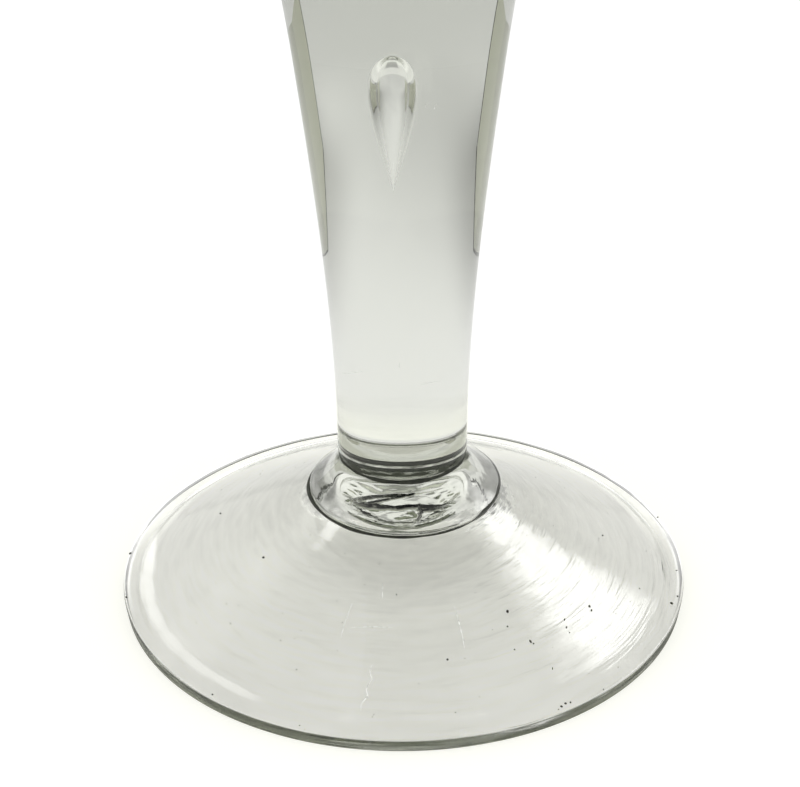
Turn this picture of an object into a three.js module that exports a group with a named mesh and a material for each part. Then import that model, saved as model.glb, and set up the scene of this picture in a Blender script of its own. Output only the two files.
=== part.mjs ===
// A drawn goblet in clear lead glass: pointed funnel bowl, solid tapering stem that
// holds an air tear, low collar and high conical foot.
// Millimetres, +Z up. The origin is the centre of the ring that the foot stands on.
import * as THREE from "three";

// Foot: a high cone with a flatter brim, hollow underneath, that stands on a narrow ground ring
const footRadius = 44;
const footRimThickness = 2.2;
const footRimRound = 0.35;
const footHeight = 17.8;
const footTopRadius = 14.45;
const footInstep = 0.3;
const footBrimWidth = 5.4;
const footBrimRise = 1.5;
const footBrimRiseShare = 0.1;
const footMiddleThickness = 4.2;
const standingRingInset = 0.3;
const standingRingWidth = 1.6;
const underCrownRadius = 7.4;
const underCrownFallShare = 0.42;
const underFallShare = 0.38;

// Collar: a low disc with a rounded lip and a hollow slope up to the stem
const collarHeight = 6.6;
const collarRadius = 14.8;
const collarLipRound = 0.6;
const collarLipTurn = THREE.MathUtils.degToRad(50);
const collarNeckRadius = 9.1;
const collarNeckHeight = 0.1;
const collarNeckRunShare = 0.8;

// Stem: solid, drawn out and widening upwards
const stemBaseRadius = 9.92;
const stemBaseRound = 0.9;
const stemHeight = 63.8;
const stemTopRadius = 15;
const stemTopRunShare = 0.125;

// Air tear: a bubble shut in between the two gathers, round above and drawn to a tail below
const tearRadius = 2.15;
const tearHeadHeight = 5.3;
const tearTailLength = 16.7;

// Bowl: the first gather, blown to a pointed well with a heavy base
const flareHeight = 43.4;
const flareRadius = 26;
const flareRunShare = 0.5;
const mouthHeight = 56;
const mouthRadius = 42;
const mouthRunShare = 0.12;
const lipThickness = 1.8;
const bowlWall = 3.1;
const wellDepth = 24;
const wellPointRadius = 1.2;
const wellPointRunShare = 1.15;

// Pontil scar: the broken wad of glass left where the iron was snapped off
const scarRadius = 6.6;
const scarHeight = 2.7;
const scarRimRadius = 5;
const scarHollowDepth = 1.3;
const scarRaggedness = 0.9;
const scarOutlineShares = [
  { lobes: 2, swingShare: 0.3, turnShare: 0.15 },
  { lobes: 3, swingShare: 0.25, turnShare: 0.6 },
  { lobes: 7, swingShare: 0.2, turnShare: 0.35 },
];
const scarBreakShares = [
  { lobes: 1, swingShare: 0.45, turnShare: 0.8 },
  { lobes: 4, swingShare: 0.3, turnShare: 0.1 },
  { lobes: 9, swingShare: 0.25, turnShare: 0.5 },
];

// Fineness of the surfaces
const roundSides = 72;
const scarSides = 33;
const flareSteps = 8;
const mouthSteps = 7;
const wellSteps = 8;
const lipSteps = 4;
const tearHeadSteps = 4;
const tearTailSteps = 3;
const stemSteps = 10;
const coneSteps = 5;
const brimSteps = 3;
const underSteps = 8;
const coveSteps = 7;
const edgeSteps = 3;

// Heights where one piece sits on the next
const collarBottom = footHeight;
const stemBottom = collarBottom + collarHeight;
const bowlBottom = stemBottom + stemHeight;
const flareTop = bowlBottom + flareHeight;
const bowlTop = flareTop + mouthHeight;

// How far along its chord a sweep holds the direction that it leaves or arrives in
const reachShare = 1 / 3;

const glassColour = new THREE.Color(0.86, 0.88, 0.85);

function clearGlass(name, roughness) {
  return new THREE.MeshStandardMaterial({
    name,
    color: glassColour,
    roughness,
    metalness: 0,
    transparent: true,
    opacity: 0.35,
  });
}

const polishedGlass = clearGlass("clear_glass", 0.04);
const brokenGlass = clearGlass("broken_glass", 0.3);

function point(radius, height) {
  return new THREE.Vector2(radius, height);
}

// A smooth curve that leaves one point and meets the next along the given directions.
function sweep(from, leaving, to, arriving, steps) {
  const reach = from.distanceTo(to) * reachShare;
  const near = from.clone().addScaledVector(leaving.clone().normalize(), reach);
  const far = to.clone().addScaledVector(arriving.clone().normalize(), -reach);
  return new THREE.CubicBezierCurve(from, near, far, to).getPoints(steps);
}

// A stretch of an ellipse, from one angle to another.
function arc(centre, acrossRadius, upRadius, fromAngle, toAngle, steps) {
  const points = [];
  for (let i = 0; i <= steps; i += 1) {
    const angle = fromAngle + ((toAngle - fromAngle) * i) / steps;
    const across = acrossRadius * Math.cos(angle);
    const up = upRadius * Math.sin(angle);
    points.push(point(centre.x + across, centre.y + up));
  }
  return points;
}

// Joins stretches of an outline, dropping a point that repeats the one before it.
function outline(...stretches) {
  const joined = [];
  for (const next of stretches.flat()) {
    const last = joined[joined.length - 1];
    if (!last || last.distanceTo(next) > 0) joined.push(next);
  }
  return joined;
}

// Turns an outline of radius and height about the upright axis.
function turned(name, points, sides, material) {
  const geometry = new THREE.LatheGeometry(points, sides);
  geometry.rotateX(Math.PI / 2);
  const mesh = new THREE.Mesh(geometry, material);
  mesh.name = name;
  return mesh;
}

// The outline runs from the middle underneath out to the ring, round the rim and up the cone.
function foot() {
  const underHeight = footHeight - footMiddleThickness;
  const ringOuter = footRadius - standingRingInset;
  const ringInner = ringOuter - standingRingWidth;
  const crown = point(underCrownRadius, underHeight);
  const crownFall = point(1, -underCrownFallShare);
  const ringEdge = point(ringInner, 0);
  const rimTop = point(footRadius - footRimRound, footRimThickness);
  const brimEdge = point(footRadius - footBrimWidth, footRimThickness + footBrimRise);
  const top = point(footTopRadius, footHeight);
  const fall = brimEdge.clone().sub(top);
  const instep = fall.clone().normalize().multiplyScalar(footInstep);
  const middle = brimEdge.clone().lerp(top, 0.5).add(point(instep.y, -instep.x));
  const cone = new THREE.QuadraticBezierCurve(brimEdge, middle, top).getPoints(coneSteps);
  const coneClimb = middle.clone().sub(brimEdge);
  const rimCentre = point(footRadius - footRimRound, footRimThickness - footRimRound);
  const rimRound = arc(rimCentre, footRimRound, footRimRound, 0, Math.PI / 2, edgeSteps);
  return turned(
    "foot",
    outline(
      [point(0, underHeight)],
      sweep(crown, crownFall, ringEdge, point(1, -underFallShare), underSteps),
      [point(ringOuter, 0)],
      rimRound,
      sweep(rimTop, point(-1, footBrimRiseShare), brimEdge, coneClimb, brimSteps),
      cone,
      [point(0, footHeight)],
    ),
    roundSides,
    polishedGlass,
  );
}

// The lip curls over into a hollow slope, which runs in under the stem's rounded base.
function collar() {
  const lipCentre = point(collarRadius - collarLipRound, collarBottom + collarLipRound);
  const lip = arc(
    lipCentre,
    collarLipRound,
    collarLipRound,
    -Math.PI / 2,
    collarLipTurn,
    edgeSteps,
  );
  const neck = point(collarNeckRadius, stemBottom - collarNeckHeight);
  const cove = sweep(
    lip[lip.length - 1],
    point(-Math.sin(collarLipTurn), Math.cos(collarLipTurn)),
    neck,
    point(-collarNeckRunShare, 1),
    coveSteps,
  );
  return turned(
    "collar",
    outline(
      [point(0, collarBottom)],
      lip,
      cove,
      [point(collarNeckRadius, stemBottom), point(0, stemBottom)],
    ),
    roundSides,
    polishedGlass,
  );
}

// The base is rounded, so a fine groove shows above the collar; the tear's tail is a pit in the top.
function stem() {
  const baseCentre = point(stemBaseRadius - stemBaseRound, stemBottom + stemBaseRound);
  const base = arc(baseCentre, stemBaseRound, stemBaseRound, -Math.PI / 2, 0, edgeSteps);
  const side = sweep(
    base[base.length - 1],
    point(0, 1),
    point(stemTopRadius, bowlBottom),
    point(stemTopRunShare, 1),
    stemSteps,
  );
  const tail = sweep(
    point(tearRadius, bowlBottom),
    point(0, -1),
    point(0, bowlBottom - tearTailLength),
    point(-tearRadius, -tearTailLength),
    tearTailSteps,
  );
  return turned(
    "stem",
    outline([point(0, stemBottom)], base, side, tail),
    roundSides,
    polishedGlass,
  );
}

// The tear's head is a dent underneath; the wall runs up outside, over the lip and down the well.
function bowl() {
  const seam = point(stemTopRadius, bowlBottom);
  const shoulder = point(flareRadius, flareTop);
  const climb = point(flareRunShare, 1);
  const rim = point(mouthRadius, bowlTop - lipThickness / 2);
  const rimInner = point(mouthRadius - lipThickness, bowlTop - lipThickness / 2);
  const mouthClimb = point(mouthRunShare, 1);
  const flare = sweep(seam, point(stemTopRunShare, 1), shoulder, climb, flareSteps);
  const side = sweep(shoulder, climb, rim, mouthClimb, mouthSteps);
  const lipCentre = point(mouthRadius - lipThickness / 2, bowlTop - lipThickness / 2);
  const lip = arc(lipCentre, lipThickness / 2, lipThickness / 2, 0, Math.PI, lipSteps);
  const innerShoulder = point(flareRadius - bowlWall, flareTop);
  const wellPoint = point(0, flareTop - wellDepth);
  const inner = sweep(
    rimInner,
    mouthClimb.clone().negate(),
    innerShoulder,
    climb.clone().negate(),
    mouthSteps,
  );
  const wellTip = point(wellPointRadius, wellPoint.y + wellPointRadius / 2);
  const well = sweep(
    innerShoulder,
    climb.clone().negate(),
    wellTip,
    point(-wellPointRunShare, -1),
    wellSteps,
  );
  const head = arc(
    point(0, bowlBottom),
    tearRadius,
    tearHeadHeight,
    Math.PI / 2,
    0,
    tearHeadSteps,
  );
  head[0].setX(0);
  return turned(
    "bowl",
    outline(head, flare, side, lip, inner, well, [wellPoint]),
    roundSides,
    polishedGlass,
  );
}

// Adds up waves that run round a circle, each with its lobes, swing and turn.
function wavesAt(angle, waveShares) {
  let height = 0;
  for (const wave of waveShares) {
    const turn = 2 * Math.PI * wave.turnShare;
    height += wave.swingShare * Math.sin(wave.lobes * angle + turn);
  }
  return height;
}

// The wad's broken face: an uneven ridge round a hollow, with a ragged outline.
function pontilScar() {
  const seat = footHeight - footMiddleThickness;
  const ridge = seat - scarHeight;
  const hollow = ridge + scarHollowDepth;
  const scar = turned(
    "pontil_scar",
    [
      point(0, hollow),
      point(scarRimRadius / 2, hollow),
      point(scarRimRadius, ridge),
      point((scarRimRadius + scarRadius) / 2, (ridge + seat) / 2),
      point(scarRadius, seat),
      point(0, seat),
    ],
    scarSides,
    brokenGlass,
  );
  const places = scar.geometry.getAttribute("position");
  for (let i = 0; i < places.count; i += 1) {
    const x = places.getX(i);
    const y = places.getY(i);
    const z = places.getZ(i);
    const angle = Math.atan2(y, x);
    const outShare = Math.hypot(x, y) / scarRadius;
    const belowShare = (seat - z) / scarHeight;
    const out = scarRaggedness * outShare * wavesAt(angle, scarOutlineShares);
    const down = scarRaggedness * outShare * belowShare * wavesAt(angle, scarBreakShares);
    places.setXYZ(i, x + out * Math.cos(angle), y + out * Math.sin(angle), z - down);
  }
  return scar;
}

const goblet = new THREE.Group();
goblet.add(foot(), collar(), stem(), bowl(), pontilScar());

export default goblet;
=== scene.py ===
# A drawn goblet in clear lead glass, dressed over its CAD frame and set on a white table.
import math

import bpy
from mathutils import Euler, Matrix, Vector, noise
from mathutils.bvhtree import BVHTree


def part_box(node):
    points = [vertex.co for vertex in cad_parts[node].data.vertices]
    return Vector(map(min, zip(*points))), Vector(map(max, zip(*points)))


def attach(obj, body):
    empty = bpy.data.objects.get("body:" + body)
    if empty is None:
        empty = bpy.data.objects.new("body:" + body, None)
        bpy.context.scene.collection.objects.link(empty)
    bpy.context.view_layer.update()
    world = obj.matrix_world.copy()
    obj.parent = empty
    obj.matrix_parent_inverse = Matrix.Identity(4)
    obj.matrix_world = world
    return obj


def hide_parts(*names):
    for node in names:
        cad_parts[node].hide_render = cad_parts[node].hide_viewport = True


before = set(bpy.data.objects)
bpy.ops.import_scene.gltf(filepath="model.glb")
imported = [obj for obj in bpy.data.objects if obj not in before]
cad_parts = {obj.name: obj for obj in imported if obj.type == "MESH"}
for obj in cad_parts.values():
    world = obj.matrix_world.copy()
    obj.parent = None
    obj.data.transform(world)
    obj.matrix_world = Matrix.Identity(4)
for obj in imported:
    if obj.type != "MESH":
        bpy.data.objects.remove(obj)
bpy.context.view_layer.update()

MM = 0.001


def in_mm(*lengths):
    return tuple(length * MM for length in lengths)


SEAM_GAP = 0.0025 * MM
MERGE_GAP = 0.001 * MM
SAME_PLACE = 1e-7

# Heights where one gather of glass sits on the next, read from the frame
FOOT_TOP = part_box("foot")[1].z
COLLAR_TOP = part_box("collar")[1].z
STEM_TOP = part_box("stem")[1].z
BOWL_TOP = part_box("bowl")[1].z
SCAR_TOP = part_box("pontil_scar")[1].z

# Foot
FOOT_RADIUS = 44 * MM
FOOT_RIM_THICKNESS = 2.2 * MM
FOOT_RIM_ROUND = 0.35 * MM
FOOT_TOP_RADIUS = 14.45 * MM
FOOT_INSTEP = 0.3 * MM
FOOT_FLARE_DIP = 0.5 * MM
FOOT_FLARE_POWER = 6
FOOT_BRIM_WIDTH = 5.4 * MM
FOOT_BRIM_RISE = 1.5 * MM
FOOT_BRIM_RISE_SHARE = 0.1
STANDING_RING_INSET = 0.3 * MM
STANDING_RING_WIDTH = 1.6 * MM
UNDER_CROWN_RADIUS = 7.4 * MM
UNDER_CROWN_FALL_SHARE = 0.42
UNDER_FALL_SHARE = 0.38

# Collar
COLLAR_RADIUS = 14.8 * MM
COLLAR_LIP_ROUND = 0.6 * MM
COLLAR_SEAT = COLLAR_RADIUS - COLLAR_LIP_ROUND
COLLAR_LIP_TURN = math.radians(50)
COLLAR_NECK_RADIUS = 9.1 * MM
COLLAR_NECK_HEIGHT = 0.1 * MM
COLLAR_NECK_RUN_SHARE = 0.8
COLLAR_SHIFT = 0.4 * MM

# Stem
STEM_BASE_RADIUS = 9.92 * MM
STEM_BASE_ROUND = 0.9 * MM
STEM_SEAT = STEM_BASE_RADIUS - STEM_BASE_ROUND
STEM_TOP_RADIUS = 15 * MM
STEM_TOP_RUN_SHARE = 0.125

# Air tear
TEAR_RADIUS = 2.15 * MM
TEAR_HEAD_HEIGHT = 5.3 * MM
TEAR_TAIL_LENGTH = 16.7 * MM
TEAR_SHIFT = -0.6 * MM

# Bowl
FLARE_HEIGHT = 43.4 * MM
FLARE_RADIUS = 26 * MM
FLARE_RUN_SHARE = 0.5
MOUTH_RADIUS = 42 * MM
MOUTH_RUN_SHARE = 0.12
LIP_THICKNESS = 1.8 * MM
BOWL_WALL = 3.1 * MM
WELL_DEPTH = 24 * MM
WELL_POINT_RADIUS = 1.2 * MM
WELL_POINT_RUN_SHARE = 1.15

# How many steps each stretch of an outline takes
SEAT_STEPS = 6
UNDER_STEPS = 60
RIM_WALL_STEPS = 4
RIM_STEPS = 12
BRIM_STEPS = 24
CONE_STEPS = 60
EDGE_STEPS = 14
COVE_STEPS = 40
STEM_SIDE_STEPS = 70
TEAR_TAIL_STEPS = 110
TEAR_HEAD_STEPS = 32
FLARE_STEPS = 48
LIP_STEPS = 20
WELL_STEPS = 40
WELL_POINT_STEPS = 4
BEAD_STEPS = 12

# How the outlines are drawn and turned
REACH_SHARE = 1 / 3
STEEP = 2
EASE = 6
NO_JOINT = (-1.0, 0.0)
TURNED_INPUTS = (
    "Finish", "Sides", "Unevenness", "Wave Length", "Drawn Out", "Seed", "Shift",
    "Lower Joint Height", "Lower Joint Radius", "Upper Joint Height", "Upper Joint Radius",
)

# Pontil scar; the unevenness of its face is in millimetres
SCAR_SEAT_RADIUS = 6.9 * MM
SCAR_EDGE_DEPTH = 0.35 * MM
SCAR_DEPTH = 1.3 * MM
SCAR_ROUGH = 0.015 * MM
SCAR_ROUGH_POWER = 0.7
SCAR_SEAT_RINGS = 4
SCAR_RINGS = 96
SCAR_SPOKES = 400
SCAR_SWELL = 0.25
SCAR_RAGGED_EDGE = 0.05
SCAR_EDGE_SHARE = 0.5
SCAR_LEAST_DEPTH_SHARE = 0.4
CRACK_WANDER = 0.3
CRACK_JITTER = 0.04
CRACK_STEP_REACH = 1.6
CRACK_GRIME_SPREAD = 2.2
GRIME_LEVEL = 1.15
GRIME_BREAKS = 0.9

# Cracks across the broken face: points in millimetres, then width, depth, step from one side to
# the other, and grime
SCAR_CRACKS = (
    (
        (
            (-5.9, 0.8), (-4.2, -0.1), (-2.6, 0.2), (-0.6, -0.3),
            (1.6, -0.1), (3.6, -0.6), (6.1, -0.5),
        ),
        0.75, 0.6, 0.3, 1.0,
    ),
    (((-6.2, 0.2), (-4.4, 1.5), (-2.6, 2.9), (-1.2, 3.6), (0.8, 3.7)), 0.4, 0.35, -0.2, 1.0),
    (((1.9, -0.4), (2.1, -2.3), (1.7, -4.3)), 0.24, 0.4, 0.2, 0.7),
    (((-5.0, -2.6), (-3.2, -3.5), (-1.6, -4.5), (-0.3, -4.7)), 0.42, 0.35, 0.2, 1.0),
    (((4.6, -1.3), (5.2, -2.5), (4.2, -3.3)), 0.2, 0.4, 0.2, 0.6),
    (((-5.2, 0.1), (-4.0, 0.7), (-2.6, 1.5), (-1.2, 2.6), (0.2, 3.4)), 0.35, 0.35, 0.15, 1.0),
    (((1.9, -1.3), (3.8, -1.2), (5.6, -1.3)), 0.4, 0.4, 0.1, 1.0),
)

# Camera
PICTURE = (800, 787)
VIEW_HEIGHT = 34.34 * MM
VIEW_DISTANCE = 0.42
VIEW_SIDESTEP = -0.3 * MM
VIEW_PITCH = math.radians(30.276)
VIEW_ROLL = math.radians(-0.5)
SENSOR_WIDTH = 36
LENS = 124.44

# Stones: column and row of the picture, and size as a share of the largest stone
GRIT = (
    (220, 513, 1.0), (263, 557, 1.1), (230, 623, 0.7), (447, 659, 0.9), (507, 611, 1.1),
    (507, 626, 0.8), (530, 641, 1.2), (533, 643, 0.7), (514, 649, 0.8), (589, 606, 1.2),
    (591, 610, 1.0), (564, 619, 1.0), (566, 627, 0.8), (569, 632, 0.7), (552, 668, 0.8),
    (639, 588, 0.9), (602, 535, 0.7), (676, 570, 0.9), (671, 603, 1.0), (677, 596, 0.8),
    (296, 669, 0.6), (280, 640, 0.5), (396, 594, 0.7), (455, 712, 0.6), (659, 654, 0.7),
    (130, 553, 1.0), (126, 597, 0.9), (657, 517, 0.9), (663, 524, 1.1), (668, 531, 0.8),
    (674, 542, 0.9), (561, 706, 0.9), (565, 703, 1.0), (570, 702, 0.8), (558, 709, 0.7),
    (212, 694, 0.8), (299, 725, 0.6), (603, 689, 0.6),
)
DUST_SLOPE = 0.5
STONE_LEAST = (0.45, 0.45, 0.35)
STONE_MOST = (1.1, 1.1, 0.7)
GRIT_SEED = 4

# Scratches: width as a share of the widest, then columns and rows of the picture
SCRATCH_WIDTH = 0.22 * MM
SCRATCH_STEPS = 4
SCRATCH_SWAY = 0.6
SCRATCH_SWAY_RATE = 0.35
SCRATCH_TIP = 0.6
FOOT_SCRATCHES = (
    (1.0, (372, 664), (369, 670), (371, 678), (366, 687), (367, 696), (361, 703), (360, 711)),
    (0.7, (382, 583), (382, 597)),
    (0.7, (454, 605), (461, 630), (464, 648)),
    (0.5, (352, 602), (345, 620), (340, 640)),
    (0.5, (350, 627), (372, 626), (392, 627)),
)
STEM_SCRATCHES = (
    (0.7, (424, 97), (424, 106)),
    (0.7, (434, 99), (434, 110)),
    (0.5, (343, 373), (362, 371)),
    (0.5, (420, 384), (440, 380)),
    (0.5, (399, 362), (399, 367)),
)


class Plan:
    """A node tree being drawn up: each node comes from one call that sets it and wires it."""

    def __init__(self, tree):
        self.tree = tree

    def node(self, kind, settings=None, inputs=None, output=0):
        made = self.tree.nodes.new(kind)
        for name, value in (settings or {}).items():
            if name == "stops":
                ramp = made.color_ramp.elements
                while len(ramp) < len(value):
                    ramp.new(1.0)
                for stop, (place, colour) in zip(ramp, value):
                    stop.position = place
                    stop.color = colour
            else:
                setattr(made, name, value)
        for name, given in (inputs or {}).items():
            socket = made.inputs[name]
            for value in given if isinstance(given, list) else [given]:
                if isinstance(value, Term):
                    self.tree.links.new(value.socket, socket)
                elif value is not None:
                    socket.default_value = value
        return Term(self, made.outputs[output]) if made.outputs else None

    def join(self, x, y, z):
        return self.node("ShaderNodeCombineXYZ", None, {"X": x, "Y": y, "Z": z})

    def split(self, vector):
        parts = self.node("ShaderNodeSeparateXYZ", None, {"Vector": vector})
        return [parts.other(axis) for axis in "XYZ"]

    def vectors(self, operation, *terms, **named):
        inputs = {**dict(enumerate(terms)), **named}
        return self.node("ShaderNodeVectorMath", {"operation": operation}, inputs)

    def place(self):
        """The place on the piece, in the object's own coordinates."""
        return self.node("ShaderNodeTexCoord", None, None, "Object")

    def noise(self, place, **values):
        return self.node("ShaderNodeTexNoise", None, {"Vector": place, **values})

    def mark(self, name):
        """A number that the mesh carries under the given name."""
        return self.node("ShaderNodeAttribute", {"attribute_name": name}, None, "Fac")

    def blend(self, share, first, second):
        inputs = {"Factor": share, "A": first, "B": second}
        return self.node("ShaderNodeMix", {"data_type": "VECTOR"}, inputs, "Result")


class Term:
    """One socket of a plan; arithmetic on it adds Math nodes."""

    def __init__(self, plan, socket):
        self.plan = plan
        self.socket = socket

    def other(self, output):
        return Term(self.plan, self.socket.node.outputs[output])

    def math(self, operation, *terms):
        inputs = dict(enumerate((self, *terms)))
        return self.plan.node("ShaderNodeMath", {"operation": operation}, inputs)

    def flipped(self, operation, term):
        return self.plan.node("ShaderNodeMath", {"operation": operation}, {0: term, 1: self})

    def __add__(self, term):
        return self.math("ADD", term)

    def __sub__(self, term):
        return self.math("SUBTRACT", term)

    def __rsub__(self, term):
        return self.flipped("SUBTRACT", term)

    def __mul__(self, term):
        return self.math("MULTIPLY", term)

    __radd__ = __add__
    __rmul__ = __mul__

    def __truediv__(self, term):
        return self.math("DIVIDE", term)

    def __rtruediv__(self, term):
        return self.flipped("DIVIDE", term)

    def __pow__(self, term):
        return self.math("POWER", term)

    def rise(self, start, finish):
        """0 up to start, 1 from finish on, and smooth between."""
        settings = {"interpolation_type": "SMOOTHSTEP"}
        inputs = {"Value": self, "From Min": start, "From Max": finish}
        return self.plan.node("ShaderNodeMapRange", settings, inputs)

    def fall(self, start, finish):
        return 1.0 - self.rise(start, finish)

    def within(self, start, full, fade, finish):
        """1 from full to fade, and smooth down to 0 at start and at finish."""
        return self.rise(start, full) * self.fall(fade, finish)


def length(across, back):
    return (across * across + back * back) ** 0.5


# Outlines


def along(start, finish, share):
    return tuple(a + (b - a) * share for a, b in zip(start, finish))


def sweep(start, leaving, finish, arriving, steps):
    """A smooth curve that leaves one point and meets the next along the given directions."""
    first, last = Vector(start), Vector(finish)
    reach = math.dist(start, finish) * REACH_SHARE
    near = first + Vector(leaving).normalized() * reach
    far = last - Vector(arriving).normalized() * reach
    points = []
    for i in range(steps + 1):
        t = i / steps
        u = 1 - t
        place = first * u**3 + near * 3 * u * u * t + far * 3 * u * t * t + last * t**3
        points.append(tuple(place))
    return points


def arc(centre, radius, start_angle, end_angle, steps, up=None):
    """Part of a circle, or of an ellipse whose half height is up."""
    points = []
    for i in range(steps + 1):
        angle = start_angle + (end_angle - start_angle) * i / steps
        across, rise = radius * math.cos(angle), (up or radius) * math.sin(angle)
        points.append((centre[0] + across, centre[1] + rise))
    return points


def straight(start, finish, steps):
    return [along(start, finish, i / steps) for i in range(steps + 1)]


def inward(points, i):
    """The way into the glass at one point of a stretch; level where the wall is steep."""
    run = Vector(points[min(i + 1, len(points) - 1)]) - Vector(points[max(i - 1, 0)])
    if abs(run.y) > STEEP * abs(run.x):
        return Vector((-math.copysign(1.0, run.y), 0.0))
    return Vector((-run.y, run.x)).normalized()


def outline(*stretches):
    """Joins stretches of points into rows of radius, height, give and lean.

    Give is how far out and up the unevenness moves a point, and lean its share of the piece's
    shift. A stretch states each as a number or as a function of the way along it.
    """
    rows = []
    for points, share, *rest in stretches:
        tilt = rest[0] if rest else 0
        for i, (radius, height) in enumerate(points):
            way = i / (len(points) - 1) if len(points) > 1 else 0.0
            amount = share(way) if callable(share) else share
            give = inward(points, i) * amount if amount else Vector((0.0, 0.0))
            row = (max(radius, 0.0), height, give, tilt(way) if callable(tilt) else tilt)
            if rows and math.dist(rows[-1][:2], (radius, height)) < SAME_PLACE:
                before = rows.pop()
                least = min(give, before[2], key=lambda v: v.length)
                row = (*row[:2], least, max(row[3], before[3]))
            rows.append(row)
    return rows


def hump(t):
    """Rises from 0 at both ends of a stretch to 1 along its middle."""
    return min(1.0, EASE * t, EASE * (1 - t))


def rising(t):
    return min(1.0, EASE * t)


def falling(t):
    return min(1.0, EASE * (1 - t))


def foot_outline():
    under = SCAR_TOP + SEAM_GAP
    top = FOOT_TOP - SEAM_GAP
    ring_outer = FOOT_RADIUS - STANDING_RING_INSET
    ring_inner = ring_outer - STANDING_RING_WIDTH
    crown = (UNDER_CROWN_RADIUS, SCAR_TOP)
    ring_edge = (ring_inner, 0.0)
    rim_top = Vector((FOOT_RADIUS - FOOT_RIM_ROUND, FOOT_RIM_THICKNESS))
    brim_edge = Vector((FOOT_RADIUS - FOOT_BRIM_WIDTH, FOOT_RIM_THICKNESS + FOOT_BRIM_RISE))
    cone_top = Vector((FOOT_TOP_RADIUS, top))
    instep = (brim_edge - cone_top).normalized() * FOOT_INSTEP
    middle = (brim_edge + cone_top) / 2 + Vector((instep.y, -instep.x))
    cone = []
    for i in range(CONE_STEPS + 1):
        t = i / CONE_STEPS
        place = brim_edge * (1 - t) ** 2 + middle * 2 * t * (1 - t) + cone_top * t * t
        cone.append((place.x, place.y - FOOT_FLARE_DIP * t * (1 - t**FOOT_FLARE_POWER)))
    rim_centre = (FOOT_RADIUS - FOOT_RIM_ROUND, FOOT_RIM_THICKNESS - FOOT_RIM_ROUND)
    rim = arc(rim_centre, FOOT_RIM_ROUND, 0, math.pi / 2, RIM_STEPS)
    brim = sweep(rim_top, (-1, FOOT_BRIM_RISE_SHARE), brim_edge, middle - brim_edge, BRIM_STEPS)
    leaving, arriving = (1, -UNDER_CROWN_FALL_SHARE), (1, -UNDER_FALL_SHARE)
    return outline(
        ([(0, under), (SCAR_SEAT_RADIUS, under)], 0),
        (straight((SCAR_SEAT_RADIUS, under), crown, SEAT_STEPS), 0),
        (sweep(crown, leaving, ring_edge, arriving, UNDER_STEPS), hump),
        ([ring_edge, (ring_outer, 0)], 0),
        (straight((ring_outer, 0), rim[0], RIM_WALL_STEPS), 0),
        (rim, 0),
        (brim, rising),
        (cone, falling, lambda t: t * t),
        ([cone[-1], (COLLAR_SEAT, top), (0, top)], 0, 1),
    )


def collar_outline():
    bottom = FOOT_TOP + SEAM_GAP
    top = COLLAR_TOP - SEAM_GAP
    lip_centre = (COLLAR_SEAT, FOOT_TOP + COLLAR_LIP_ROUND)
    lip = arc(lip_centre, COLLAR_LIP_ROUND, -math.pi / 2, COLLAR_LIP_TURN, EDGE_STEPS)
    lip[0] = (COLLAR_SEAT, bottom)
    neck = (COLLAR_NECK_RADIUS, COLLAR_TOP - COLLAR_NECK_HEIGHT)
    leaving = (-math.sin(COLLAR_LIP_TURN), math.cos(COLLAR_LIP_TURN))
    cove = sweep(lip[-1], leaving, neck, (-COLLAR_NECK_RUN_SHARE, 1), COVE_STEPS)
    return outline(
        ([(0, bottom), lip[0]], 0, 1),
        (lip, 0, 1),
        (cove, hump, lambda t: 1 - t),
        ([neck, (COLLAR_NECK_RADIUS, top), (STEM_SEAT, top), (0, top)], 0),
    )


def stem_outline():
    bottom = COLLAR_TOP + SEAM_GAP
    top = STEM_TOP - SEAM_GAP
    base_centre = (STEM_SEAT, COLLAR_TOP + STEM_BASE_ROUND)
    base = arc(base_centre, STEM_BASE_ROUND, -math.pi / 2, 0, EDGE_STEPS)
    base[0] = (STEM_SEAT, bottom)
    side_end = (STEM_TOP_RADIUS, STEM_TOP)
    side = sweep(base[-1], (0, 1), side_end, (STEM_TOP_RUN_SHARE, 1), STEM_SIDE_STEPS)
    side[-1] = (STEM_TOP_RADIUS, top)
    tip = (0, STEM_TOP - TEAR_TAIL_LENGTH)
    arriving = (-TEAR_RADIUS, -TEAR_TAIL_LENGTH)
    tail = sweep((TEAR_RADIUS, top), (0, -1), tip, arriving, TEAR_TAIL_STEPS)
    return outline(
        ([(0, bottom), base[0]], 0),
        (base, 0),
        (side, rising),
        ([(TEAR_RADIUS, top)], 0, 1),
        (tail, 0, 1),
    )


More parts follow.
